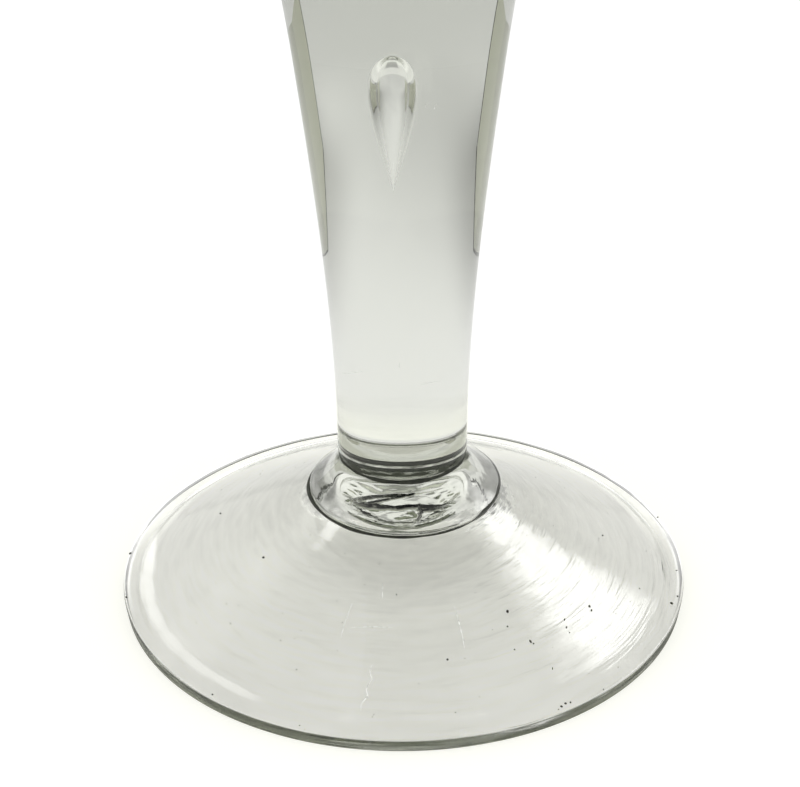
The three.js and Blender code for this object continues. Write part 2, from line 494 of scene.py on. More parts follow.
def bowl_outline():
    bottom = STEM_TOP + SEAM_GAP
    flare_top = STEM_TOP + FLARE_HEIGHT
    climb = (FLARE_RUN_SHARE, 1)
    down = (-FLARE_RUN_SHARE, -1)
    mouth_climb = (MOUTH_RUN_SHARE, 1)
    mouth_down = (-MOUTH_RUN_SHARE, -1)
    point_run = (-WELL_POINT_RUN_SHARE, -1)
    half_lip = LIP_THICKNESS / 2
    lip_centre = (MOUTH_RADIUS - half_lip, BOWL_TOP - half_lip)
    seam = (STEM_TOP_RADIUS, bottom)
    shoulder = (FLARE_RADIUS, flare_top)
    inner_shoulder = (FLARE_RADIUS - BOWL_WALL, flare_top)
    rim = (MOUTH_RADIUS, BOWL_TOP - half_lip)
    inner_rim = (MOUTH_RADIUS - LIP_THICKNESS, BOWL_TOP - half_lip)
    well_point = (0, flare_top - WELL_DEPTH)
    well_tip = (WELL_POINT_RADIUS, well_point[1] + WELL_POINT_RADIUS / 2)
    head = arc((0, bottom), TEAR_RADIUS, math.pi / 2, 0, TEAR_HEAD_STEPS, TEAR_HEAD_HEIGHT)
    head[0] = (0, head[0][1])
    return outline(
        (head, 0, 1),
        (sweep(seam, (STEM_TOP_RUN_SHARE, 1), shoulder, climb, FLARE_STEPS), 1),
        (sweep(shoulder, climb, rim, mouth_climb, FLARE_STEPS), falling),
        (arc(lip_centre, half_lip, 0, math.pi, LIP_STEPS), 0),
        (sweep(inner_rim, mouth_down, inner_shoulder, down, FLARE_STEPS), 1),
        (sweep(inner_shoulder, down, well_tip, point_run, WELL_STEPS), falling),
        (straight(well_tip, well_point, WELL_POINT_STEPS), 0),
    )


def bead_outline(radius, height, thickness):
    """The round section of a ring that its unevenness thickens here and there."""
    rows = []
    for i in range(BEAD_STEPS + 1):
        angle = math.tau * i / BEAD_STEPS
        way = Vector((math.cos(angle), math.sin(angle)))
        place = Vector((radius, height)) + way * thickness / 2
        rows.append((place.x, place.y, way, 0))
    return rows


# Pieces


def add_object(name, data):
    piece = bpy.data.objects.new(name, data)
    bpy.context.scene.collection.objects.link(piece)
    return piece


def declare(piece, node=None):
    """Hangs a piece on the root and hides the CAD node that it stands for, if any."""
    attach(piece, "root")
    if node:
        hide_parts(node)


def evaluated_mesh(piece, name):
    """The piece's finished mesh, with its modifiers worked out."""
    bpy.context.view_layer.update()
    ready = piece.evaluated_get(bpy.context.evaluated_depsgraph_get())
    mesh = bpy.data.meshes.new_from_object(ready)
    mesh.name = name
    return mesh


def work_out(piece, tree, values):
    """Runs a tree on a piece's guide and puts the finished mesh in the guide's place."""
    modifier = piece.modifiers.new(tree.name, "NODES")
    modifier.node_group = tree
    for item in tree.interface.items_tree:
        if item.item_type == "SOCKET" and item.in_out == "INPUT" and item.name in values:
            modifier[item.identifier] = values[item.name]
    mesh = evaluated_mesh(piece, piece.name)
    piece.modifiers.remove(modifier)
    guide = piece.data
    piece.data = mesh
    bpy.data.meshes.remove(guide)


# Pontil scar


def clamped(value):
    return min(1.0, max(0.0, value))


def waves(x, y, rate, layer):
    return noise.noise(Vector((x * rate, y * rate, layer)))


def crack_at(x, y, path, width):
    """How near a place is to a crack, from 0 to 1, on which side of it, -1 or 1, and how far."""
    best = (math.inf, 1.0)
    for (ax, ay), (bx, by) in zip(path, path[1:]):
        run_x, run_y = bx - ax, by - ay
        t = clamped(((x - ax) * run_x + (y - ay) * run_y) / (run_x**2 + run_y**2))
        gap = math.hypot(x - ax - run_x * t, y - ay - run_y * t)
        if gap < best[0]:
            best = (gap, math.copysign(1.0, run_x * (y - ay) - run_y * (x - ax)))
    return max(0.0, 1 - best[0] / width), best[1], best[0]


def scar_face(x, y):
    """Depth below the seat and grime at one place of the broken face, all in millimetres."""
    wander = CRACK_WANDER * waves(x, y, 1.1, 4.0) + CRACK_JITTER * waves(x, y, 3, 9.0)
    out = math.hypot(x, y) * MM / SCAR_SEAT_RADIUS + SCAR_RAGGED_EDGE * waves(x, y, 1, 2.0)
    fall = clamped((1.0 - out) / SCAR_EDGE_SHARE)
    fall = fall * fall * (3 - 2 * fall)
    depth = SCAR_DEPTH / MM + SCAR_SWELL * waves(x, y, 0.3, 1.0)
    depth += SCAR_ROUGH / MM * abs(waves(x, y, 1.1, 7.0)) ** SCAR_ROUGH_POWER
    grime = 0.0
    for path, width, rise, step, dirt in SCAR_CRACKS:
        near, side, gap = crack_at(x + wander, y + wander, path, width)
        depth -= rise * near
        depth += step / 2 * side * math.exp(-gap / CRACK_STEP_REACH)
        grime = max(grime, dirt * min(1.0, CRACK_GRIME_SPREAD * near))
    grime *= clamped(GRIME_LEVEL + GRIME_BREAKS * waves(x, y, 2.1, 12.0))
    edge = SCAR_EDGE_DEPTH / MM
    return max(edge * SCAR_LEAST_DEPTH_SHARE, edge + (depth - edge) * fall), grime * fall


def scar_piece(name, finish, node):
    """The scar: a flat seat against the foot, closed by the broken face below it."""
    top = SCAR_TOP - SEAM_GAP
    turns = [math.tau * spoke / SCAR_SPOKES for spoke in range(SCAR_SPOKES)]
    places = [(0.0, 0.0, top)]
    for ring in range(1, SCAR_SEAT_RINGS + 1):
        radius = SCAR_SEAT_RADIUS * ring / SCAR_SEAT_RINGS
        places += [(radius * math.cos(turn), radius * math.sin(turn), top) for turn in turns]
    grimes = [0.0] * len(places)
    spots = []
    for ring in range(SCAR_RINGS):
        radius = SCAR_SEAT_RADIUS * (1 - ring / SCAR_RINGS)
        spots += [(radius * math.cos(turn), radius * math.sin(turn)) for turn in turns]
    for x, y in (*spots, (0.0, 0.0)):
        depth, grime = scar_face(x / MM, y / MM)
        places.append((x, y, SCAR_TOP - depth * MM))
        grimes.append(grime)

    faces = []
    rings = SCAR_SEAT_RINGS + SCAR_RINGS
    last = 1 + (rings - 1) * SCAR_SPOKES
    for spoke in range(SCAR_SPOKES):
        after = (spoke + 1) % SCAR_SPOKES
        faces.append((0, 1 + spoke, 1 + after))
        for ring in range(rings - 1):
            here = 1 + ring * SCAR_SPOKES
            there = here + SCAR_SPOKES
            faces.append((here + spoke, there + spoke, there + after, here + after))
        faces.append((last + spoke, len(places) - 1, last + after))
    mesh = bpy.data.meshes.new(name)
    mesh.from_pydata(places, [], faces)
    fused = mesh.attributes.new("fused", "FLOAT", "FACE")
    for face, mark in zip(mesh.polygons, fused.data):
        mark.value = float(all(places[i][2] == top for i in face.vertices))
        face.use_smooth = not mark.value
    grime_marks = mesh.attributes.new("grime", "FLOAT", "POINT")
    for mark, grime in zip(grime_marks.data, grimes):
        mark.value = grime
    mesh.materials.append(finish)
    declare(add_object(name, mesh), node)


# Geometry Nodes


def modifier_tree(name, result, *inputs):
    """A tree for a modifier, the plan that draws it up, and its named inputs as terms."""
    tree = bpy.data.node_groups.new(name, "GeometryNodeTree")
    tree.is_modifier = True
    for label, kind, *value in inputs:
        socket_type = f"NodeSocket{kind}"
        socket = tree.interface.new_socket(label, in_out="INPUT", socket_type=socket_type)
        if value:
            socket.default_value = value[0]
    tree.interface.new_socket(result, in_out="OUTPUT", socket_type="NodeSocketGeometry")
    plan = Plan(tree)
    given = plan.node("NodeGroupInput")
    return tree, plan, {label: given.other(label) for label, *rest in inputs}


def turned_glass_tree():
    """Turns an outline about the upright axis, then lets the maker's unevenness in."""
    tree, plan, size = modifier_tree(
        "turned_glass",
        "Glass",
        ("Outline", "Geometry"),
        ("Sides", "Int", 192),
        ("Unevenness", "Float", 0.0),
        ("Wave Length", "Float", 0.01),
        ("Drawn Out", "Float", 1.0),
        ("Seed", "Float", 0.0),
        ("Lower Joint Height", "Float", NO_JOINT[0]),
        ("Lower Joint Radius", "Float", NO_JOINT[1]),
        ("Upper Joint Height", "Float", NO_JOINT[0]),
        ("Upper Joint Radius", "Float", NO_JOINT[1]),
        ("Shift", "Float", 0.0),
        ("Crease Angle", "Float", 0.6),
        ("Finish", "Material"),
    )
    drawn = {"Geometry": size["Outline"]}
    counted = {"component": "MESH"}
    rows = plan.node("GeometryNodeAttributeDomainSize", counted, drawn, "Point Count")
    cells = {"Size X": 1.0, "Size Y": 1.0, "Vertices X": size["Sides"] + 1, "Vertices Y": rows}
    grid = plan.node("GeometryNodeMeshGrid", None, cells, "Mesh")
    index = plan.node("GeometryNodeInputIndex")
    row = index.math("MODULO", rows)
    turn = (index / rows).math("FLOOR") / size["Sides"] * math.tau

    def sampled(value):
        settings = {"data_type": "FLOAT_VECTOR", "domain": "POINT"}
        inputs = {**drawn, "Value": value, "Index": row}
        return plan.split(plan.node("GeometryNodeSampleIndex", settings, inputs, "Value"))

    radius, _, height = sampled(plan.node("GeometryNodeInputPosition"))
    as_vector = {"data_type": "FLOAT_VECTOR"}
    given = plan.node("GeometryNodeInputNamedAttribute", as_vector, {"Name": "give"})
    give_out, lean, give_up = sampled(given)

    around = plan.join(turn.math("COSINE"), turn.math("SINE"), 0.0)
    flat_place = plan.vectors("SCALE", around, Scale=radius)
    true_place = plan.vectors("ADD", flat_place, plan.join(0.0, 0.0, height))
    squeezed = plan.vectors("MULTIPLY", true_place, plan.join(1.0, 1.0, size["Drawn Out"]))
    rippling = {"Vector": squeezed, "W": size["Seed"], "Scale": 1 / size["Wave Length"]}
    rippling |= {"Detail": 1.0, "Roughness": 0.4}
    ripple = plan.node("ShaderNodeTexNoise", {"noise_dimensions": "4D"}, rippling)
    depth = ripple * size["Unevenness"]
    pushed = plan.vectors("SCALE", around, Scale=give_out * depth)
    moved = plan.join(lean * size["Shift"], 0.0, give_up * depth)
    place = plan.vectors("ADD", true_place, plan.vectors("ADD", pushed, moved))
    turned = plan.node("GeometryNodeSetPosition", None, {"Geometry": grid, "Position": place})
    merging = {"Geometry": turned, "Distance": MERGE_GAP}
    closed = plan.node("GeometryNodeMergeByDistance", {"mode": "ALL"}, merging)

    x, y, level = plan.split(plan.node("GeometryNodeInputPosition"))
    out = length(x, y)

    def on_joint(end):
        gap = (level - size[f"{end} Joint Height"]).math("ABSOLUTE")
        inside = out.math("LESS_THAN", size[f"{end} Joint Radius"])
        return gap.math("LESS_THAN", 2 * SEAM_GAP) * inside

    joined = on_joint("Lower").math("MAXIMUM", on_joint("Upper"))
    marking = {"Geometry": closed, "Name": "fused", "Value": joined}
    on_faces = {"data_type": "FLOAT", "domain": "FACE"}
    marked = plan.node("GeometryNodeStoreNamedAttribute", on_faces, marking)
    smoothing = {"Geometry": marked, "Shade Smooth": True}
    smooth = plan.node("GeometryNodeSetShadeSmooth", {"domain": "FACE"}, smoothing)
    bend = plan.node("GeometryNodeInputMeshEdgeAngle", None, None, "Unsigned Angle")
    sharp = bend.math("GREATER_THAN", size["Crease Angle"])
    creasing = {"Geometry": smooth, "Selection": sharp, "Shade Smooth": False}
    creased = plan.node("GeometryNodeSetShadeSmooth", {"domain": "EDGE"}, creasing)
    finish_and_close(plan, creased, size["Finish"], "Glass")
    return tree


def finish_and_close(plan, made, finish, result):
    """Ends a tree: makes its copies real and sets their material."""
    real = plan.node("GeometryNodeRealizeInstances", None, {"Geometry": made})
    dressed = {"Geometry": real, "Material": finish}
    finished = plan.node("GeometryNodeSetMaterial", None, dressed)
    plan.node("NodeGroupOutput", None, {result: finished})


def turned_piece(
    name, rows, tree, finish, uneven, shift=0.0, lower=NO_JOINT, upper=NO_JOINT, node=None
):
    """Turns an outline into a piece, which may stand for a CAD node."""
    guide = bpy.data.meshes.new(f"{name}_outline")
    places = [(radius, 0.0, height) for radius, height, give, lean in rows]
    guide.from_pydata(places, [(i, i + 1) for i in range(len(rows) - 1)], [])
    gives = guide.attributes.new("give", "FLOAT_VECTOR", "POINT")
    for place, (radius, height, give, lean) in zip(gives.data, rows):
        place.vector = (give.x, lean, give.y)
    piece = add_object(name, guide)
    values = zip(TURNED_INPUTS, (finish, *uneven, shift, *lower, *upper))
    work_out(piece, tree, dict(values))
    declare(piece, node)


# Finishes

GLASS_IOR = 1.55
GLASS_DIM_PER_METRE = 60.0
GLASS_TINT = (0.848, 0.86, 0.815, 1.0)
AXIS_GUARD = 0.1 * MM

# Colour and roughness: of the dark film, which is dirt in some places and painted shade in others,
# and of the dirt in cracks
DIRT_AND_SHADE_COLOUR = ((0.04, 0.047, 0.028, 1.0), 0.5)
CRACK_DIRT = ((0.012, 0.014, 0.009, 1.0), 0.8)

# Tool marks: full at the right front, where the light picks them out, and faint elsewhere
MARK_SPREAD = 7.0
MARKS_FAINT = 0.12
MARKS_RIGHT = in_mm(0, 20)
MARKS_FRONT = in_mm(-8, 12)

# Streaks in the dark film of dirt and painted shade: how many in a turn, how tall, and how clearly
# they part
STREAKS_ROUND = 4.0
STREAK_HEIGHT = 0.5 * MM
STREAK_DETAIL = 5.0
STREAK_CONTRAST = 2.4
STREAK_GAPS = 0.45

# Films of dirt and of painted shade: the heights where each starts, is full, starts to fade and
# ends, and its cover.
# Painted shade darkens the band above the stem's groove, the collar's slopes and the foot's upright
# edge; dirt and painted shade lie in the groove, and dirt lies as a faint haze over the foot
DARK_BAND_FRONT = (-0.1, 0.3)
GROOVE_FILM = in_mm(23.6, 24.3, 24.9, 25.7)
GROOVE_COVER = 0.5
BAND_SHADE = in_mm(25.3, 25.8, 27.2, 28.6)
BAND_SHADE_COVER = 1.3
BAND_TILT = 2.6 * MM
BAND_THINNING = in_mm(25.9, 26.8)
BAND_THINNER = 0.5
SLOPE_SHADE = in_mm(18.2, 18.8, 20.2, 22.0)
SLOPE_SIDES = (0.3, 0.8)
SLOPE_LEFT_SHADE = 0.34
SLOPE_RIGHT_SHADE = 0.2
# Painted shade on the foot's upright edge, most of it in front
EDGE_SHADE_OUT = in_mm(43.3, 43.8)
EDGE_SHADE_UP = in_mm(1.7, 2.1)
EDGE_SHADE_SIDES = in_mm(30, 44)
EDGE_SHADE_BACK = in_mm(0, 20)
EDGE_SHADE_COVER = 0.52
EDGE_SIDES_SHADE = 0.8
HAZE_COVER = 0.06

# Painted glow on the foot's upper edge, strongest at the back, which stands in for the light that
# the edge catches
EDGE_GLOW_OUT = in_mm(42.9, 43.3)
EDGE_GLOW_UP = in_mm(1.7, 1.9)
EDGE_GLOW_BACK = in_mm(-14, 6)
EDGE_GLOW_WHITE = 0.55

# Dark rings in the grooves, dirt and painted crevice shade: each grain colour with its place in the
# noise, and where the ring thins out
GROOVE_GRAIN = 0.8 * MM
GROOVE_TONES = ((0.3, (0.008, 0.01, 0.006, 1.0)), (0.75, (0.06, 0.065, 0.045, 1.0)))
GROOVE_ROUGHNESS = (0.45, 0.4)
FADED_BACK = (-0.2, 0.4)
FADED_OUT = in_mm(11, 13)
FADED_SHARE = 0.85

# Stones, and the glass powder in a scratch, whose emission is a painted glow that lightens the
# scratches
STONE_GRAIN = 0.3 * MM
STONE_TONES = ((0.3, (0.02, 0.02, 0.015, 1.0)), (0.7, (0.09, 0.085, 0.06, 1.0)))
STONE_ROUGHNESS = (0.6, 0.3)
POWDER_GRAIN = 0.5 * MM
POWDER_ROUGHNESS = (0.5, 0.3)
POWDER_GAPS = (0.3, 0.62)
# The powder's emission is painted light: a glow that makes the scratches lighter
POWDER_AND_GLOW = {
    "Base Color": (0.97, 0.97, 0.94, 1.0),
    "Emission Color": (1.0, 1.0, 0.97, 1.0),
    "Emission Strength": 0.2,
}


def new_finish(name):
    """An empty material and the plan that draws it up."""
    material = bpy.data.materials.new(name)
    material.use_nodes = True
    material.node_tree.nodes.clear()
    return material, Plan(material.node_tree)


def joint_dirt_and_shade(across, back, out, height):
    """How dark a film covers the groove between the stem and the collar, the band above it and the
    collar's slopes, most of it in front: dirt and painted shade in the groove, painted shade on the
    band and the slopes.
    """
    turned = back / out
    groove = height.within(*GROOVE_FILM) * GROOVE_COVER
    # The band above the groove is painted shade, darkest in front
    level = height + (turned + 1.0) * BAND_TILT
    band = level.within(*BAND_SHADE) * (BAND_SHADE_COVER - BAND_THINNER * level.rise(*BAND_THINNING))
    aside = across / out
    left = (0.0 - aside).rise(*SLOPE_SIDES) * SLOPE_LEFT_SHADE
    right = aside.rise(*SLOPE_SIDES) * SLOPE_RIGHT_SHADE
    return (groove + band) * turned.fall(*DARK_BAND_FRONT) + height.within(*SLOPE_SHADE) * (left + right)


def foot_dark_edge_and_haze(across, back, out, height):
    """How dark the foot's upright edge is painted, most of it in front, as painted shade; and a
    faint haze of dirt over the whole foot.
    """
    edge = out.rise(*EDGE_SHADE_OUT) * height.fall(*EDGE_SHADE_UP) * back.fall(*EDGE_SHADE_BACK)
    sides = across.math("ABSOLUTE").rise(*EDGE_SHADE_SIDES)
    return edge * (EDGE_SHADE_COVER + EDGE_SIDES_SHADE * sides) + HAZE_COVER


def foot_edge_glow(back, out, height):
    """How brightly the foot's upper edge glows with painted light, most of it at the back."""
    return out.rise(*EDGE_GLOW_OUT) * height.rise(*EDGE_GLOW_UP) * back.rise(*EDGE_GLOW_BACK) * EDGE_GLOW_WHITE


def covered(plan, surface, share, colour, roughness):
    """A surface partly hidden under something dull."""
    dull = {"Base Color": colour, "Roughness": roughness}
    cover = plan.node("ShaderNodeBsdfPrincipled", None, dull)
    return plan.node("ShaderNodeMixShader", None, {0: share, 1: surface, 2: cover})


def glass_finish(name, marks=(), film=None, edge_glow=None, cracked=False):
    """Clear lead glass; the maker's tools leave marks that run round the axis.

    Each mark is its depth, the gap from one to the next and how many start anew in each turn.
    The film says how dark each place is made, with dirt and with painted shade, and the edge glow
    how brightly it glows with painted light. Cracked glass holds iron scale and dust in its cracks.
    """
    material, plan = new_finish(name)
    fused = plan.mark("fused")
    x, y, height = plan.split(plan.place())
    out = length(x, y)
    safe = out + AXIS_GUARD
    level = None
    for number, (depth, gap, turns) in enumerate(marks):
        turning = (out - height) / gap + MARK_SPREAD * number
        way = plan.join(x / safe * turns, y / safe * turns, turning)
        mark = plan.noise(way, Scale=1.0, Detail=3.0, Roughness=0.6) * depth
        level = mark if level is None else level + mark
    bump = None
    if level is not None:
        picked_out = x.rise(*MARKS_RIGHT) * y.fall(*MARKS_FRONT)
        level = level * (MARKS_FAINT + (1.0 - MARKS_FAINT) * picked_out)
        bump = plan.node("ShaderNodeBump", None, {"Distance": 1.0, "Height": level})
    # Painted light: the foot's upper edge glows by emission
    white = edge_glow(y, safe, height) if edge_glow else None
    surface = plan.node(
        "ShaderNodeBsdfPrincipled",
        None,
        {
            "Base Color": (1.0, 1.0, 1.0, 1.0),
            "Roughness": 0.0,
            "IOR": GLASS_IOR,
            "Transmission Weight": 1.0,
            "Alpha": 1 - fused,
            "Normal": bump,
            "Emission Color": plan.join(white, white, white) if edge_glow else None,
            "Emission Strength": 1.0 if edge_glow else None,
        },
    )
    if film:
        run = plan.join(x / safe * STREAKS_ROUND, y / safe * STREAKS_ROUND, height / STREAK_HEIGHT)
        streaks = plan.noise(run, Scale=1.0, Detail=STREAK_DETAIL)
        streaks = (streaks * STREAK_CONTRAST - STREAK_GAPS).math("MAXIMUM", 0.0)
        cover = (film(x, y, safe, height) * streaks * (1 - fused)).math("MINIMUM", 1.0)
        surface = covered(plan, surface, cover, *DIRT_AND_SHADE_COLOUR)
    if cracked:
        surface = covered(plan, surface, plan.mark("grime"), *CRACK_DIRT)
    dimming = {"Color": GLASS_TINT, "Density": GLASS_DIM_PER_METRE}
    inside = plan.node("ShaderNodeVolumeAbsorption", None, dimming)
    plan.node("ShaderNodeOutputMaterial", None, {"Surface": surface, "Volume": inside})
    return material


def grainy_finish(name, grain_size, roughness, look, **detail):
    """A dull finish that its grain makes rougher here and there; look says the rest of it."""
    material, plan = new_finish(name)
    place = plan.place()
    grain = plan.noise(place, Scale=1 / grain_size, **detail)
    least, more = roughness
    inputs = {"Roughness": least + more * grain, **look(plan, place, grain)}
    dull = plan.node("ShaderNodeBsdfPrincipled", None, inputs)
    plan.node("ShaderNodeOutputMaterial", None, {"Surface": dull})
    return material


def groove_ring_look(plan, place, grain):
    """A dark ring that fills a groove, dirt and painted crevice shade, thinned at the back of the
    stem.
    """
    x, y, height = plan.split(place)
    out = length(x, y)
    faded = (y / (out + AXIS_GUARD)).rise(*FADED_BACK) * out.fall(*FADED_OUT)
    tone = plan.node("ShaderNodeValToRGB", {"stops": GROOVE_TONES}, {"Fac": grain})
    return {"Base Color": tone, "Alpha": 1.0 - FADED_SHARE * faded}


def stone_look(plan, place, grain):
    return {"Base Color": plan.node("ShaderNodeValToRGB", {"stops": STONE_TONES}, {"Fac": grain})}


def powder_look(plan, place, grain):
    """White glass powder, with gaps, and a painted glow that lightens it."""
    return {**POWDER_AND_GLOW, "Alpha": grain.rise(*POWDER_GAPS)}


def card_finish(name, colour):
    material, plan = new_finish(name)
    paint = plan.node("ShaderNodeBsdfDiffuse", None, {"Color": colour})
    plan.node("ShaderNodeOutputMaterial", None, {"Surface": paint})
    return material


# The goblet

FOOT_MARKS = ((0.5 * MM, 7.0 * MM, 1.1), (0.24 * MM, 2.4 * MM, 1.0))
COLLAR_MARKS = ((0.03 * MM, 2.5 * MM, 1.5),)

# Sides of a piece, depth of its unevenness, wave length, how far drawn out, and seed
FOOT_UNEVEN = (360, 0.12 * MM, 16 * MM, 1.0, 3.0)
COLLAR_UNEVEN = (240, 0.1 * MM, 8 * MM, 1.0, 5.0)
STEM_UNEVEN = (240, 0.05 * MM, 9 * MM, 0.2, 7.0)

# Height and radius of the joint on top of each gather
SCAR_JOINT = (SCAR_TOP, SCAR_SEAT_RADIUS)
FOOT_JOINT = (FOOT_TOP, COLLAR_SEAT)
STEM_FOOT = (COLLAR_TOP, STEM_SEAT)
STEM_JOINT = (STEM_TOP, STEM_TOP_RADIUS)

# Dark rings in the grooves where the gathers meet, which stand for dirt and for painted crevice
# shade: its ring's radius, height and thickness, then what a turned piece needs
GROOVE_DARK_RINGS = {
    "collar_groove_dirt": (
        (14.54 * MM, FOOT_TOP + 0.08 * MM, 0.12 * MM), (360, 0.42 * MM, 4.5 * MM, 0.3, 2.0),
    ),
    "stem_groove_dirt": (
        (9.42 * MM, COLLAR_TOP + 0.05 * MM, 0.24 * MM), (360, 0.55 * MM, 3.0 * MM, 0.3, 2.0),
    ),
}

tree = turned_glass_tree()
clear_glass = glass_finish("clear_glass_finish")
stem_glass = glass_finish("stem_glass_finish", (), joint_dirt_and_shade)
foot_glass = glass_finish("foot_glass_finish", FOOT_MARKS, foot_dark_edge_and_haze, foot_edge_glow)
collar_glass = glass_finish("collar_glass_finish", COLLAR_MARKS, joint_dirt_and_shade)
broken_glass = glass_finish("broken_glass_finish", cracked=True)
groove_dark_ring = grainy_finish(
    "grime_finish", GROOVE_GRAIN, GROOVE_ROUGHNESS, groove_ring_look, Detail=3.0
)

for node, rows, *look, lower, upper in (
    ("foot", foot_outline(), foot_glass, FOOT_UNEVEN, COLLAR_SHIFT, SCAR_JOINT, FOOT_JOINT),
    ("collar", collar_outline(), collar_glass, COLLAR_UNEVEN, COLLAR_SHIFT, FOOT_JOINT, STEM_FOOT),
    ("stem", stem_outline(), stem_glass, STEM_UNEVEN, TEAR_SHIFT, STEM_FOOT, STEM_JOINT),
    ("bowl", bowl_outline(), clear_glass, STEM_UNEVEN, TEAR_SHIFT, STEM_JOINT, NO_JOINT),
):
    turned_piece(f"{node}_glass", rows, tree, *look, lower, upper, node)
scar_piece("scar_glass", broken_glass, "pontil_scar")
# Dark rings in the grooves: dirt and painted crevice shade
for name, (ring, uneven) in GROOVE_DARK_RINGS.items():
    turned_piece(name, bead_outline(*ring), tree, groove_dark_ring, uneven)

# The camera

camera_data = bpy.data.cameras.new("camera")
camera_data.sensor_width = SENSOR_WIDTH
camera_data.lens = LENS
camera = add_object("camera", camera_data)
camera.location = (
    VIEW_SIDESTEP,
    -VIEW_DISTANCE * math.cos(VIEW_PITCH),
    VIEW_HEIGHT + VIEW_DISTANCE * math.sin(VIEW_PITCH),
)
level_turn = Euler((math.pi / 2 - VIEW_PITCH, 0, 0)).to_matrix()
roll = Euler((0, 0, VIEW_ROLL)).to_matrix()
camera.rotation_euler = (level_turn @ roll).to_euler()
bpy.context.scene.camera = camera

# Grit and scratches, placed where the photograph shows them on the glass that carries them


def carrier_of(name):
    mesh = bpy.data.objects[name].data
    return BVHTree.FromPolygons([v.co for v in mesh.vertices], [f.vertices for f in mesh.polygons])


def seen_place(carrier, column, row):
    """The place on a piece that shows at a column and row of the picture."""
    width, height = PICTURE
    across = (column + 0.5 - width / 2) / width * SENSOR_WIDTH
    up = -(row + 0.5 - height / 2) / width * SENSOR_WIDTH
    way = camera.matrix_world.to_3x3() @ Vector((across, up, -camera_data.lens))
    return carrier.ray_cast(camera.matrix_world.translation, way.normalized())[0]


def grit_tree():
    """Sets small stones on the given points and scatters finer ones over the carrier's top."""
    tree, plan, size = modifier_tree(
        "scattered_grit",
        "Grit",
        ("Places", "Geometry"),
        ("Stone Size", "Float", 0.58 * MM),
        ("Dust Size", "Float", 0.2 * MM),
        ("Dust Per Square Metre", "Float", 14000.0),
        ("Seed", "Int", 1),
        ("Carrier", "Object"),
        ("Finish", "Material"),
    )
    carrier = plan.node("GeometryNodeObjectInfo", None, {"Object": size["Carrier"]}, "Geometry")
    facing = plan.split(plan.node("GeometryNodeInputNormal"))[2]
    scattering = {
        "Mesh": carrier,
        "Selection": facing.math("GREATER_THAN", DUST_SLOPE),
        "Density": size["Dust Per Square Metre"],
        "Seed": size["Seed"],
    }
    dust = plan.node("GeometryNodeDistributePointsOnFaces", None, scattering, "Points")

    def drawn_by_lot(least, most, seed):
        inputs = {"Min": least, "Max": most, "Seed": seed}
        return plan.node("FunctionNodeRandomValue", {"data_type": "FLOAT_VECTOR"}, inputs)

    def stones(points, width, seed):
        round_stone = {"Radius": 0.5, "Subdivisions": 1}
        shape = plan.node("GeometryNodeMeshIcoSphere", None, round_stone, "Mesh")
        turn = drawn_by_lot((0.0, 0.0, 0.0), (math.tau,) * 3, seed)
        stretch = drawn_by_lot(STONE_LEAST, STONE_MOST, seed + 1)
        scaled = plan.vectors("SCALE", stretch, Scale=width)
        setting = {"Points": points, "Instance": shape, "Rotation": turn, "Scale": scaled}
        return plan.node("GeometryNodeInstanceOnPoints", None, setting)

    share = plan.node("GeometryNodeInputNamedAttribute", {"data_type": "FLOAT"}, {"Name": "share"})
    placed = stones(size["Places"], share * size["Stone Size"], size["Seed"] + 10)
    scattered = stones(dust, size["Dust Size"], size["Seed"] + 20)
    joined = plan.node("GeometryNodeJoinGeometry", None, {0: [placed, scattered]})
    finish_and_close(plan, joined, size["Finish"], "Grit")
    return tree


def grit_piece(name, carrier_name, finish):
    carrier = carrier_of(carrier_name)
    spots = [(seen_place(carrier, column, row), share) for column, row, share in GRIT]
    spots = [(place, share) for place, share in spots if place]
    guide = bpy.data.meshes.new(f"{name}_places")
    guide.from_pydata([place for place, share in spots], [], [])
    shares = guide.attributes.new("share", "FLOAT", "POINT")
    for mark, (place, share) in zip(shares.data, spots):
        mark.value = share
    piece = add_object(name, guide)
    carrier_object = bpy.data.objects[carrier_name]
    work_out(piece, grit_tree(), {"Carrier": carrier_object, "Finish": finish, "Seed": GRIT_SEED})
    piece.data.materials.clear()
    piece.data.materials.append(finish)
    declare(piece)


def scratch_piece(name, carrier_name, lines, finish):
    """Fine scratches as thin closed threads sunk half into the surface."""
    carrier = carrier_of(carrier_name)
    curve = bpy.data.curves.new(name, "CURVE")
    curve.dimensions = "3D"
    curve.bevel_depth = SCRATCH_WIDTH / 2
    curve.bevel_resolution = 1
    curve.use_fill_caps = True
    for width, *pixels in lines:
        found = []
        for start, finish_pixel in zip(pixels, pixels[1:]):
            for i in range(SCRATCH_STEPS):
                column, row = along(start, finish_pixel, i / SCRATCH_STEPS)
                sway = noise.noise(Vector((column, row, 3.0)) * SCRATCH_SWAY_RATE)
                found.append(seen_place(carrier, column + SCRATCH_SWAY * sway, row))
        found.append(seen_place(carrier, *pixels[-1]))
        found = [place for place in found if place]
        spline = curve.splines.new("POLY")
        spline.points.add(len(found) - 1)
        for i, (point, place) in enumerate(zip(spline.points, found)):
            point.co = (*place, 1.0)
            taper = (i + SCRATCH_TIP) / (len(found) - 1 + 2 * SCRATCH_TIP)
            point.radius = width * math.sin(math.pi * taper) ** 0.5
    guide = add_object(f"{name}_guide", curve)
    mesh = evaluated_mesh(guide, name)
    bpy.data.objects.remove(guide)
    mesh.materials.clear()
    mesh.materials.append(finish)
    declare(add_object(name, mesh))


